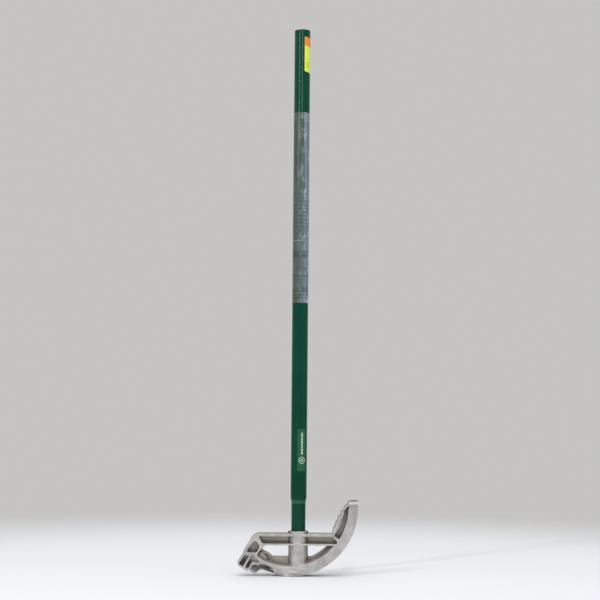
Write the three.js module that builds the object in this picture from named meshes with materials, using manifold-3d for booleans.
// Hand conduit bender: a cast aluminium bending head screwed onto a painted steel tube.
// Millimetres. X runs along the head, hook at -X and foot pedal at +X. Y runs through its
// thickness, with the labelled side at -Y. Z runs up the handle, and the shoe rests on Z = 0.
import * as THREE from 'three';
import { mergeVertices } from 'three/addons/utils/BufferGeometryUtils.js';
import Module from 'manifold-3d';

const wasm = await Module();
wasm.setup();

// Conduit and bend
const CONDUIT_OD = 23.4;
const GROOVE_RADIUS = CONDUIT_OD / 2 + 0.3;
const BEND_RADIUS = 125.4;
const SHOE_RADIUS = 127.1;
const ARC_X = -16.4;
const ARC_Z = SHOE_RADIUS;
const HOOK_ANGLE = THREE.MathUtils.degToRad(30);

// Head casting
const HALF_DEPTH = 18.8;
const WEB_HALF = 3.6;
const BAR_TOP = 78.4;
const BAR_BOTTOM = 57.4;
const TOP_FLANGE = 4.8;
const BOTTOM_FLANGE = 3;
const WALL_INNER_RADIUS = 108.8;
const WALL_ROOT_RADIUS = 102;
const WINDOW_RADIUS = 99.6;
const WINDOW_BOTTOM = 36.5;
const SEAT_RADIUS = BEND_RADIUS - GROOVE_RADIUS;

// Hook, measured along the gripped conduit (t, forward) and away from the bend's centre (n)
const HOOK_FRONT = 32.7;
const HOOK_REAR = 5.6;
const HOOK_FACE_END = 137.9;
const LIP_THICKNESS = 3.4;
const LIP_OUTER = BEND_RADIUS + GROOVE_RADIUS + LIP_THICKNESS;
const LIP_REACH = 2.5;
const HOOK_POCKET_DEPTH = 5.1;

// Socket
const SOCKET_RADIUS = 18.4;
const SOCKET_BOTTOM = 17;
const COLLAR_RADIUS = 19.1;
const COLLAR_TOP = 83;
const BORE_RADIUS = 13.65;
const BORE_BOTTOM = 42;

// Foot pedal
const PEDAL_HALF_WIDTH = 26;
const PEDAL_TOP = 139.4;
const PEDAL_BACK = 112.2;
const PEDAL_STEPS = 6;

// Handle
const TUBE_RADIUS = 15;
const TUBE_WALL = 2.6;
const SWAGE_RADIUS = 13.335;
const TUBE_BOTTOM = BORE_BOTTOM + 1;
const SWAGE_END = 133;
const SWAGE_START = 146;
const TUBE_TOP = 1030;

// Labels
const LABEL_GAP = 0.3;
const LABEL_THICKNESS = 0.35;

const CORNER_STEPS = 4;
const ARC_STEPS = 16;
const WINDOW_STEPS = 8;

const ALUMINIUM = { color: 0xb4b0aa, roughness: 0.5, metalness: 0.85 };
const GREEN_PAINT = { color: 0x004b2d, roughness: 0.3, metalness: 0.1 };
const SILVER_LABEL = { color: 0x84918c, roughness: 0.35, metalness: 0.3 };
const YELLOW_LABEL = { color: 0xe1f05a, roughness: 0.5, metalness: 0 };
const DECAL_GREEN = { color: 0x1d7a4f, roughness: 0.4, metalness: 0 };

// --- solids -------------------------------------------------------------------------------

function toSolid(geometry) {
  const bare = geometry.clone();
  bare.deleteAttribute('normal');
  bare.deleteAttribute('uv');
  const merged = mergeVertices(bare, 1e-4);
  return new wasm.Manifold(new wasm.Mesh({
    numProp: 3,
    vertProperties: Float32Array.from(merged.attributes.position.array),
    triVerts: Uint32Array.from(merged.index.array),
  }));
}

function toGeometry(solid) {
  const mesh = solid.getMesh();
  const geometry = new THREE.BufferGeometry();
  geometry.setAttribute('position', new THREE.BufferAttribute(mesh.vertProperties, 3));
  geometry.setIndex(new THREE.BufferAttribute(mesh.triVerts, 1));
  geometry.computeVertexNormals();
  return geometry;
}

function joined(solids) {
  return solids.reduce((whole, piece) => whole.add(piece));
}

// Extrudes an outline drawn in (x, z) from y = near to y = far.
function slab(shape, near, far, curveSegments = CORNER_STEPS) {
  const geometry = new THREE.ExtrudeGeometry(shape, {
    depth: far - near, bevelEnabled: false, curveSegments,
  });
  geometry.rotateX(Math.PI / 2);
  geometry.translate(0, far, 0);
  return toSolid(geometry);
}

function revolved(profile, segments = 48) {
  const points = profile.map(([radius, z]) => new THREE.Vector2(radius, z));
  const geometry = new THREE.LatheGeometry(points, segments);
  geometry.rotateX(Math.PI / 2);
  return geometry;
}

// A closed outline whose corners are rounded off; each point may carry its own radius.
function rounded(points, radius) {
  const corners = points.map(([x, z, own]) => ({ at: new THREE.Vector2(x, z), radius: own ?? radius }));
  const shape = new THREE.Shape();
  corners.forEach((corner, i) => {
    const before = corners.at(i - 1).at;
    const after = corners[(i + 1) % corners.length].at;
    const inward = before.clone().sub(corner.at);
    const onward = after.clone().sub(corner.at);
    const start = inward.clone().setLength(Math.min(corner.radius, inward.length() * 0.45));
    const end = onward.clone().setLength(Math.min(corner.radius, onward.length() * 0.45));
    start.add(corner.at);
    end.add(corner.at);
    if (i === 0) shape.moveTo(start.x, start.y);
    else shape.lineTo(start.x, start.y);
    shape.quadraticCurveTo(corner.at.x, corner.at.y, end.x, end.y);
  });
  shape.closePath();
  return shape;
}

function mesh(name, geometry, look) {
  const piece = new THREE.Mesh(geometry, new THREE.MeshStandardMaterial(look));
  piece.name = name;
  return piece;
}

// --- places on the head -------------------------------------------------------------------

function arcPoint(radius, degrees) {
  const angle = THREE.MathUtils.degToRad(degrees);
  return [ARC_X + radius * Math.cos(angle), ARC_Z + radius * Math.sin(angle)];
}

// A point of the hook's own frame: t forward along the conduit, n outward from the bend's centre.
function hookPoint(t, n) {
  return [
    ARC_X - t * Math.cos(HOOK_ANGLE) - n * Math.sin(HOOK_ANGLE),
    ARC_Z + t * Math.sin(HOOK_ANGLE) - n * Math.cos(HOOK_ANGLE),
  ];
}

const ARC_START = 270 - THREE.MathUtils.radToDeg(HOOK_ANGLE);
const RAD = Math.PI / 180;

// --- head casting -------------------------------------------------------------------------

function frameOutline() {
  const shape = new THREE.Shape();
  shape.moveTo(-72, BAR_TOP);
  shape.quadraticCurveTo(-83, BAR_TOP, ...hookPoint(HOOK_FRONT, 92));
  shape.lineTo(...hookPoint(HOOK_FRONT, SHOE_RADIUS));
  shape.lineTo(...hookPoint(0, SHOE_RADIUS));
  shape.absarc(ARC_X, ARC_Z, SHOE_RADIUS, ARC_START * RAD, 2 * Math.PI, false);
  shape.lineTo(ARC_X + SHOE_RADIUS, PEDAL_TOP - 3);
  shape.lineTo(98, PEDAL_TOP - 3);
  shape.quadraticCurveTo(79, 115, 66, BAR_TOP);
  shape.closePath();
  return shape;
}

// The hook's cross-section, a J that comes down on the near side and turns under the conduit.
function hookSection() {
  const outer = LIP_OUTER - HOOK_FACE_END;
  const tip = LIP_THICKNESS / 2;
  const shape = new THREE.Shape();
  shape.moveTo(-HALF_DEPTH, 112);
  shape.lineTo(-HALF_DEPTH, HOOK_FACE_END);
  shape.absarc(outer - HALF_DEPTH, HOOK_FACE_END, outer, Math.PI, Math.PI / 2, true);
  shape.lineTo(LIP_REACH, LIP_OUTER);
  shape.absarc(LIP_REACH, LIP_OUTER - tip, tip, Math.PI / 2, -Math.PI / 2, true);
  shape.lineTo(0, LIP_OUTER - LIP_THICKNESS);
  shape.lineTo(0, 112);
  shape.closePath();
  return shape;
}

function hook() {
  const geometry = new THREE.ExtrudeGeometry(hookSection(), {
    depth: HOOK_FRONT, bevelEnabled: false, curveSegments: 6,
  });
  const across = new THREE.Vector3(0, 1, 0);
  const outward = new THREE.Vector3(-Math.sin(HOOK_ANGLE), 0, -Math.cos(HOOK_ANGLE));
  const forward = new THREE.Vector3().crossVectors(across, outward);
  const placed = new THREE.Matrix4().makeBasis(across, outward, forward);
  placed.setPosition(ARC_X, 0, ARC_Z);
  geometry.applyMatrix4(placed);
  const side = [
    [HOOK_REAR, 105], [HOOK_FRONT, 105], [HOOK_FRONT, 137],
    [HOOK_FRONT - 8, LIP_OUTER + 1], [HOOK_REAR, LIP_OUTER + 1],
  ];
  const outline = rounded(side.map(([t, n]) => hookPoint(t, n)), 4);
  return toSolid(geometry).intersect(slab(outline, -HALF_DEPTH - 1, HALF_DEPTH));
}

// The far wall's end, drawn down beside the conduit so that it can't slip out of the hook.
function farLobe() {
  const shape = new THREE.Shape();
  shape.moveTo(...hookPoint(HOOK_REAR, 118));
  shape.lineTo(...hookPoint(HOOK_REAR, LIP_OUTER - 3));
  shape.quadraticCurveTo(...hookPoint(HOOK_REAR, LIP_OUTER), ...hookPoint(2.5, LIP_OUTER));
  shape.lineTo(...hookPoint(-3, LIP_OUTER));
  shape.quadraticCurveTo(...hookPoint(-8, LIP_OUTER), ...hookPoint(-9.5, 134));
  shape.quadraticCurveTo(...hookPoint(-11, 127), ...hookPoint(-22, 125.1));
  shape.lineTo(...hookPoint(-22, 118));
  shape.closePath();
  return slab(shape, 6, HALF_DEPTH);
}

// Openings of the casting, as outlines in (x, z).
function barRecess() {
  const top = BAR_TOP - TOP_FLANGE;
  const bottom = BAR_BOTTOM + BOTTOM_FLANGE;
  return rounded([[-73.6, top], [-66, bottom], [70.8, bottom], [72.6, bottom + 3.6], [64, top]], 2.5);
}

function armPocket() {
  const low = -32 * RAD;
  const shape = new THREE.Shape();
  shape.moveTo(...arcPoint(WALL_INNER_RADIUS, -32));
  shape.absarc(ARC_X, ARC_Z, WALL_INNER_RADIUS, low, -2 * RAD, false);
  shape.quadraticCurveTo(93.5, 129.5, 95.5, 131.4);
  shape.quadraticCurveTo(90, 130, 86, 120);
  shape.lineTo(76.5, 92);
  shape.lineTo(67.8, 77.6);
  shape.quadraticCurveTo(67.2, 76, 68.4, 74.6);
  shape.closePath();
  return shape;
}

function shoeRecess() {
  const outer = WALL_INNER_RADIUS + 1;
  const rightEnd = -Math.asin((ARC_Z - BAR_BOTTOM) / outer);
  const shape = new THREE.Shape();
  shape.moveTo(ARC_X + outer * Math.cos(rightEnd), BAR_BOTTOM);
  shape.lineTo(-60.5, BAR_BOTTOM);
  shape.lineTo(-68.2, 50.2);
  shape.lineTo(-74.4, 42);
  shape.quadraticCurveTo(-77, 38, ...arcPoint(outer, 238));
  shape.absarc(ARC_X, ARC_Z, outer, 238 * RAD, 2 * Math.PI + rightEnd, false);
  shape.closePath();
  return shape;
}

// The wall side of the shoe's recess slopes out from the web to the face, as the mould needs.
function slopedRecess() {
  const face = HALF_DEPTH + 1;
  const slope = (WALL_INNER_RADIUS - WALL_ROOT_RADIUS) / (HALF_DEPTH - WEB_HALF);
  const profile = [
    [40, -face], [WALL_INNER_RADIUS + slope, -face], [WALL_ROOT_RADIUS, -WEB_HALF], [40, -WEB_HALF], [40, -face],
  ];
  const ring = new THREE.LatheGeometry(profile.map(([r, y]) => new THREE.Vector2(r, y)), 96);
  ring.translate(ARC_X, 0, ARC_Z);
  const near = toSolid(ring).intersect(slab(shoeRecess(), -face - 1, 0, ARC_STEPS));
  return near.add(near.mirror([0, 1, 0]));
}

const WINDOW_CORNER = [[-67.8, 50], [-62, 44.9], [-55.3, 42.4], [-48.8, 37.2]];

function leftWindow() {
  const inside = -SOCKET_RADIUS + 3;
  return rounded([
    [inside, BAR_BOTTOM, 0.1], [-60, BAR_BOTTOM, 3], ...WINDOW_CORNER,
    [-46, WINDOW_BOTTOM], [inside, WINDOW_BOTTOM, 0.1],
  ], 1.5);
}

// A raised rim follows the window's slanted corner, with an oval ejector pad in the pocket beside it.
function cornerRim() {
  const under = WINDOW_CORNER.map(([x, z]) => [x - 1.6, z - 2.6]).reverse();
  return slab(rounded([...WINDOW_CORNER, ...under], 0.6), -10, 10, 2);
}

function ejectorPad() {
  const pad = rounded([[-8, -5], [8, -5], [8, 5], [-8, 5]], 5);
  const geometry = new THREE.ExtrudeGeometry(pad, { depth: 18, bevelEnabled: false, curveSegments: 6 });
  geometry.rotateZ(-40 * RAD);
  geometry.rotateX(Math.PI / 2);
  geometry.translate(-65.6, 9, 36.6);
  return toSolid(geometry);
}

function rightWindow() {
  const inside = SOCKET_RADIUS - 3;
  const startAngle = -Math.asin((ARC_Z - WINDOW_BOTTOM) / WINDOW_RADIUS);
  const endAngle = -Math.asin((ARC_Z - BAR_BOTTOM) / WINDOW_RADIUS);
  const shape = new THREE.Shape();
  shape.moveTo(inside, BAR_BOTTOM);
  shape.lineTo(inside, WINDOW_BOTTOM);
  shape.absarc(ARC_X, ARC_Z, WINDOW_RADIUS, startAngle, endAngle, false);
  shape.closePath();
  return shape;
}

const UPPER_POCKET = [
  [-95.2, 44.8], [-90, 54.5], [-82.2, 64.4], [-77.3, 64.4], [-71.9, 56.8], [-71.9, 52.8], [-77.2, 43.4],
];
const FRONT_POCKET = [[19.8, 137.6], [19, 114.6], [27.2, 116.6], [28.7, 136.6]];
const REAR_POCKET = [
  [14.8, 136.6], [9.4, 135.8], [9.4, 124], [7.2, 119.6], [-1.6, 118.4], [-2, 114.8], [1, 112.6],
  [9.6, 110.4], [13.1, 108.2], [16.4, 111],
];

function atHook(points) {
  return points.map(([t, n]) => hookPoint(t, n));
}

// The near side wall starts late, with a long slanting bevel, so that the conduit can be laid in.
function nearWallCut() {
  const edge = SEAT_RADIUS + 1.2;
  const side = new THREE.Shape();
  side.moveTo(...hookPoint(HOOK_REAR, 165));
  side.lineTo(...hookPoint(HOOK_REAR, 128));
  side.quadraticCurveTo(...hookPoint(5.2, 123), ...hookPoint(-3, 120.5));
  side.quadraticCurveTo(...hookPoint(-6, 119.3), ...arcPoint(edge, 270 - 30 + 4));
  side.absarc(ARC_X, ARC_Z, edge, 244 * RAD, 275 * RAD, false);
  side.lineTo(-5, -40);
  side.closePath();
  const plan = new THREE.Shape();
  plan.moveTo(-125, -HALF_DEPTH - 1);
  plan.lineTo(-16, -HALF_DEPTH - 1);
  plan.lineTo(-38, -GROOVE_RADIUS + 0.1);
  plan.lineTo(-38, 0);
  plan.lineTo(-125, 0);
  plan.closePath();
  const upward = new THREE.ExtrudeGeometry(plan, { depth: 60, bevelEnabled: false });
  upward.applyMatrix4(new THREE.Matrix4().makeShear(0, 0, 0, 0, -0.85, 0));
  return toSolid(upward).intersect(slab(side, -HALF_DEPTH - 2, 1, WINDOW_STEPS));
}

// In the hook the far side is open, so that the conduit can swing in.
function farHookOpening() {
  const outline = new THREE.Shape();
  const corners = atHook([[HOOK_REAR, 137], [HOOK_REAR, SEAT_RADIUS + 0.5], [60, SEAT_RADIUS + 0.5], [60, 137]]);
  outline.setFromPoints(corners.map(([x, z]) => new THREE.Vector2(x, z)));
  return slab(outline, 4, HALF_DEPTH + 2);
}

// The conduit's centre line at a full bend: straight up past the pedal, round the shoe, out
// through the hook.
class ConduitPath extends THREE.Curve {
  constructor() {
    super();
    this.lead = 24;
    this.tail = 50;
    this.sweep = ARC_START * RAD - Math.PI * 2;
    this.total = this.lead - this.sweep * BEND_RADIUS + this.tail;
  }

  getPoint(u) {
    const run = u * this.total;
    const arc = -this.sweep * BEND_RADIUS;
    if (run < this.lead) {
      return new THREE.Vector3(ARC_X + BEND_RADIUS, 0, ARC_Z + this.lead - run);
    }
    if (run < this.lead + arc) {
      const angle = -(run - this.lead) / BEND_RADIUS;
      return new THREE.Vector3(
        ARC_X + BEND_RADIUS * Math.cos(angle), 0, ARC_Z + BEND_RADIUS * Math.sin(angle),
      );
    }
    const [x, z] = hookPoint(run - this.lead - arc, BEND_RADIUS);
    return new THREE.Vector3(x, 0, z);
  }
}

// The groove is round at its floor and its walls run straight out past the conduit's middle. The
// section's x points toward the bend's centre.
function conduitSpace() {
  const out = SHOE_RADIUS - BEND_RADIUS + 0.6;
  const turn = Math.acos(-out / GROOVE_RADIUS);
  const section = new THREE.Shape();
  section.absarc(0, 0, GROOVE_RADIUS, -Math.PI / 2, Math.PI / 2, false);
  section.lineTo(-out, GROOVE_RADIUS);
  section.absarc(0, 0, GROOVE_RADIUS, turn, 2 * Math.PI - turn, false);
  section.lineTo(-out, -GROOVE_RADIUS);
  section.closePath();
  return toSolid(new THREE.ExtrudeGeometry(section, {
    steps: 56, curveSegments: 12, bevelEnabled: false, extrudePath: new ConduitPath(),
  }));
}

function pedal() {
  const foot = new THREE.Vector2(64.2, 80.5);
  const face = new THREE.QuadraticBezierCurve(
    foot, new THREE.Vector2(75.5, 114), new THREE.Vector2(98, PEDAL_TOP),
  );
  const shape = new THREE.Shape();
  shape.moveTo(foot.x, foot.y);
  for (let step = 0; step < PEDAL_STEPS; step += 1) {
    const low = face.getPoint(step / PEDAL_STEPS);
    const high = face.getPoint((step + 1) / PEDAL_STEPS);
    shape.lineTo(THREE.MathUtils.lerp(low.x, high.x, 0.25), THREE.MathUtils.lerp(low.y, high.y, 0.8));
    shape.lineTo(high.x, high.y);
  }
  const nose = 3.2;
  shape.lineTo(PEDAL_BACK - nose, PEDAL_TOP);
  shape.absarc(PEDAL_BACK - nose, PEDAL_TOP - nose, nose, Math.PI / 2, -Math.PI / 2, true);
  shape.lineTo(99, PEDAL_TOP - 2 * nose);
  shape.quadraticCurveTo(89, 131, 84.4, 121);
  shape.lineTo(73.4, 95.4);
  shape.lineTo(67, 77.5);
  shape.quadraticCurveTo(63.5, 76.5, foot.x, foot.y);
  const front = rounded([
    [-PEDAL_HALF_WIDTH, 72], [PEDAL_HALF_WIDTH, 72],
    [PEDAL_HALF_WIDTH, PEDAL_TOP], [-PEDAL_HALF_WIDTH, PEDAL_TOP],
  ], 8);
  const mask = new THREE.ExtrudeGeometry(front, { depth: 70, bevelEnabled: false, curveSegments: 6 });
  mask.rotateX(Math.PI / 2);
  mask.rotateZ(Math.PI / 2);
  mask.translate(55, 0, 0);
  return slab(shape, -PEDAL_HALF_WIDTH, PEDAL_HALF_WIDTH).intersect(toSolid(mask));
}

function socket() {
  return toSolid(revolved([
    [0, SOCKET_BOTTOM], [SOCKET_RADIUS, SOCKET_BOTTOM], [SOCKET_RADIUS, BAR_TOP - 0.4],
    [COLLAR_RADIUS, BAR_TOP + 0.2], [COLLAR_RADIUS, COLLAR_TOP - 0.9],
    [COLLAR_RADIUS - 0.9, COLLAR_TOP], [0, COLLAR_TOP],
  ]));
}

function socketBore() {
  return toSolid(revolved([
    [0, BORE_BOTTOM], [BORE_RADIUS, BORE_BOTTOM], [BORE_RADIUS, COLLAR_TOP - 1.2],
    [BORE_RADIUS + 1.4, COLLAR_TOP + 0.2], [0, COLLAR_TOP + 0.2],
  ]));
}

function head() {
  const blank = joined([slab(frameOutline(), -HALF_DEPTH, HALF_DEPTH, ARC_STEPS), hook(), farLobe()]);
  const outside = HALF_DEPTH + 1;
  const bothSides = [
    [barRecess(), CORNER_STEPS], [armPocket(), ARC_STEPS], [rounded(UPPER_POCKET, 1.6), CORNER_STEPS],
  ];
  const cuts = [slopedRecess(), nearWallCut(), farHookOpening()];
  for (const [outline, steps] of bothSides) {
    cuts.push(slab(outline, -outside, -WEB_HALF, steps));
    cuts.push(slab(outline, WEB_HALF, outside, steps));
  }
  for (const pocket of [FRONT_POCKET, REAR_POCKET]) {
    cuts.push(slab(rounded(atHook(pocket), 1.6), -outside, HOOK_POCKET_DEPTH - HALF_DEPTH));
  }
  cuts.push(slab(rightWindow(), -outside, outside, WINDOW_STEPS));
  const cast = blank.subtract(joined(cuts)).add(ejectorPad()).add(cornerRim());
  const framed = cast.subtract(slab(leftWindow(), -outside, outside));
  return joined([framed, socket(), pedal()]).subtract(joined([conduitSpace(), socketBore()]));
}

// --- handle and labels --------------------------------------------------------------------

function handleTube() {
  const round = 0.7;
  const bore = TUBE_RADIUS - TUBE_WALL;
  const swageBore = SWAGE_RADIUS - TUBE_WALL;
  return revolved([
    [swageBore, TUBE_BOTTOM], [SWAGE_RADIUS - round, TUBE_BOTTOM], [SWAGE_RADIUS, TUBE_BOTTOM + round],
    [SWAGE_RADIUS, SWAGE_END], [SWAGE_RADIUS + 0.3, SWAGE_END + 2.5], [TUBE_RADIUS - 0.3, SWAGE_START - 2.5],
    [TUBE_RADIUS, SWAGE_START], [TUBE_RADIUS, TUBE_TOP - round], [TUBE_RADIUS - round, TUBE_TOP],
    [bore, TUBE_TOP], [bore, SWAGE_START], [swageBore, SWAGE_END], [swageBore, TUBE_BOTTOM],
  ], 64);
}

// A sticker bent round the tube. Angles are degrees round +Z, 0 at the front (-Y), + toward +X.
function wrappedLabel(fromAngle, toAngle, bottom, top) {
  const start = (fromAngle - 90) * RAD;
  const end = (toAngle - 90) * RAD;
  const inner = TUBE_RADIUS + LABEL_GAP;
  const shape = new THREE.Shape();
  shape.absarc(0, 0, inner + LABEL_THICKNESS, start, end, false);
  shape.absarc(0, 0, inner, end, start, true);
  shape.closePath();
  const curveSegments = Math.ceil((toAngle - fromAngle) / 7);
  const geometry = new THREE.ExtrudeGeometry(shape, { depth: top - bottom, bevelEnabled: false, curveSegments });
  geometry.translate(0, 0, bottom);
  return toGeometry(toSolid(geometry));
}

const bender = new THREE.Group();
bender.add(mesh('bender_head', toGeometry(head()), ALUMINIUM));
bender.add(mesh('handle_tube', toGeometry(toSolid(handleTube())), GREEN_PAINT));
bender.add(mesh('instruction_label', wrappedLabel(-165, 165, 508, 870), SILVER_LABEL));
bender.add(mesh('price_sticker', wrappedLabel(17, 113, 949, 1016), YELLOW_LABEL));
bender.add(mesh('maker_decal', wrappedLabel(-12, 48, 194, 272), DECAL_GREEN));

export default bender;
